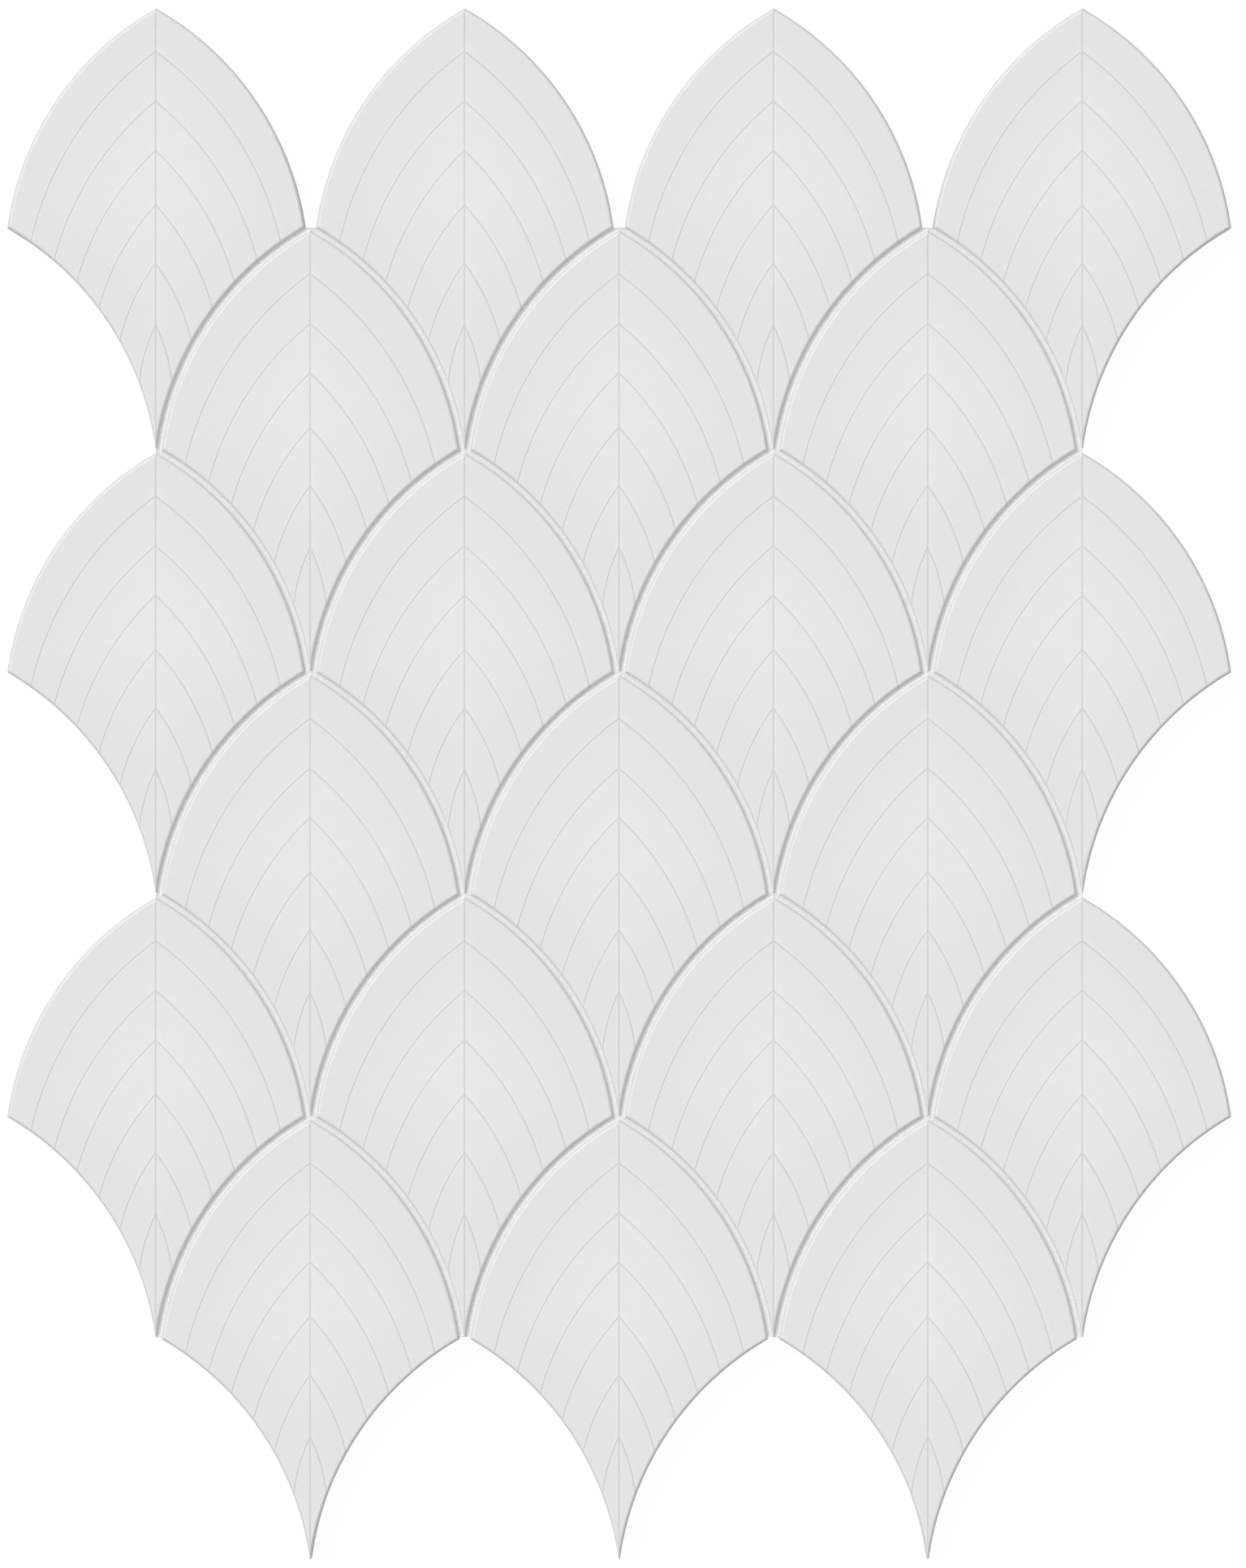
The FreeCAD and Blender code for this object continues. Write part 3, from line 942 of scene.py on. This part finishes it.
class FISHSCALE_OT_weave_backing(bpy.types.Operator):
    """Weave the open mesh that holds the tiles together"""

    bl_idname = "fishscale.weave_backing"
    bl_label = "Weave the backing"

    def execute(self, context):
        sizes = context.scene.fishscale_backing
        centre = (BACKING_LOW + BACKING_HIGH) / 2
        width, breadth, _ = BACKING_HIGH - BACKING_LOW
        across, along = round(width / sizes.cell), round(breadth / sizes.cell)
        piece = new_object("woven_backing", bpy.data.meshes.new("backing_blank"))
        shape_with(piece, woven_backing_tree(), cells_across=across, cells_along=along,
                   cell_width=width / across, cell_length=breadth / along, yarn_width=sizes.yarn_width,
                   yarn_thickness=sizes.yarn_thickness, crimp=sizes.crimp, centre=tuple(centre),
                   yarn=glass_yarn(sizes))
        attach(piece, BODY)
        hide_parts(BACKING_NODE)
        return {"FINISHED"}


# Stage


def pale_floor(sizes):
    """Seamless white floor with a little light of its own."""
    material, sketch, shader, place = new_material("pale_floor")
    specks, _ = grain(sketch, place, *FLOOR_GRAIN)
    tone = sketch.blend(sketch.between(specks, 0.0, FLOOR_SPECK_SHADE), opaque(sizes.floor_colour), BLACK)
    sketch.feed(shader.inputs["Base Color"], tone)
    shader.inputs["Roughness"].default_value = FLOOR_ROUGHNESS
    shader.inputs["Specular IOR Level"].default_value = 0.0
    seen = sketch.add("ShaderNodeLightPath").outputs["Is Camera Ray"]
    sketch.feed(shader.inputs["Emission Color"],
                sketch.blend(seen, opaque([sizes.floor_bounce] * 3), WHITE))
    shader.inputs["Emission Strength"].default_value = sizes.floor_glow
    return material


class FISHSCALE_OT_set_stage(bpy.types.Operator):
    """Lay the floor, set the light and stand the camera straight above the sheet"""

    bl_idname = "fishscale.set_stage"
    bl_label = "Set the stage"

    floor_reach = 6.0
    floor_gap = 0.05 * MM
    sensor = 36.0
    far_end = 100.0

    def execute(self, context):
        sizes = context.scene.fishscale_stage
        reach = self.floor_reach
        mesh = bpy.data.meshes.new("floor")
        corners = [(x * reach, y * reach, -self.floor_gap)
                   for x, y in ((-1, -1), (1, -1), (1, 1), (-1, 1))]
        mesh.from_pydata(corners, [], [(0, 1, 2, 3)])
        mesh.materials.append(pale_floor(sizes))
        new_object("floor", mesh)
        self.light(context.scene, sizes)
        camera = bpy.data.cameras.new("camera")
        camera.sensor_width = self.sensor
        camera.lens = self.sensor * sizes.camera_height / sizes.frame_height
        camera.clip_end = self.far_end
        stand = new_object("camera", camera)
        stand.location = (sizes.aim_x, sizes.aim_y, CAD_BOX[1].z + sizes.camera_height)
        context.scene.camera = stand
        context.scene.view_settings.view_transform = "Standard"
        return {"FINISHED"}

    def light(self, scene, sizes):
        """One soft key from the upper left, and even light from all round."""
        flat = math.cos(sizes.key_elevation)
        towards = Vector((flat * math.cos(sizes.key_azimuth), flat * math.sin(sizes.key_azimuth),
                          math.sin(sizes.key_elevation)))
        sun = bpy.data.lights.new("key", "SUN")
        sun.energy = sizes.key_strength
        sun.angle = sizes.key_softness
        lamp = new_object("key", sun)
        lamp.location = towards
        lamp.rotation_euler = towards.to_track_quat("Z", "Y").to_euler()
        world = bpy.data.worlds.new("studio")
        world.use_nodes = True
        backdrop = world.node_tree.nodes["Background"]
        backdrop.inputs["Color"].default_value = WHITE
        backdrop.inputs["Strength"].default_value = sizes.ambient
        scene.world = world


class FISHSCALE_PT_sheet(bpy.types.Panel):
    """The steps that make the sheet, with their sizes"""

    bl_idname = "FISHSCALE_PT_sheet"
    bl_label = "Fish Scale Tile Sheet"
    bl_space_type = "VIEW_3D"
    bl_region_type = "UI"
    bl_category = "Fish Scale"

    def draw(self, context):
        for step, group in STEPS.items():
            box = self.layout.box()
            box.operator(step.bl_idname)
            settings = getattr(context.scene, group)
            for name in settings.__annotations__:
                box.prop(settings, name)


GROUPS = {
    "fishscale_tile": FISHSCALE_PG_tile,
    "fishscale_joints": FISHSCALE_PG_joints,
    "fishscale_backing": FISHSCALE_PG_backing,
    "fishscale_stage": FISHSCALE_PG_stage,
}
STEPS = {
    FISHSCALE_OT_press_tiles: "fishscale_tile",
    FISHSCALE_OT_fill_joints: "fishscale_joints",
    FISHSCALE_OT_weave_backing: "fishscale_backing",
    FISHSCALE_OT_set_stage: "fishscale_stage",
}


def register():
    for made in (*GROUPS.values(), *STEPS, FISHSCALE_PT_sheet):
        bpy.utils.register_class(made)
    for name, group in GROUPS.items():
        setattr(bpy.types.Scene, name, PointerProperty(type=group))


def unregister():
    for name in GROUPS:
        delattr(bpy.types.Scene, name)
    for made in (FISHSCALE_PT_sheet, *reversed(STEPS), *reversed(GROUPS.values())):
        bpy.utils.unregister_class(made)


def main():
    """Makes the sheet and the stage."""
    register()
    bpy.ops.fishscale.press_tiles()
    bpy.ops.fishscale.fill_joints()
    bpy.ops.fishscale.weave_backing()
    bpy.ops.fishscale.set_stage()


if __name__ == "__main__":
    main()
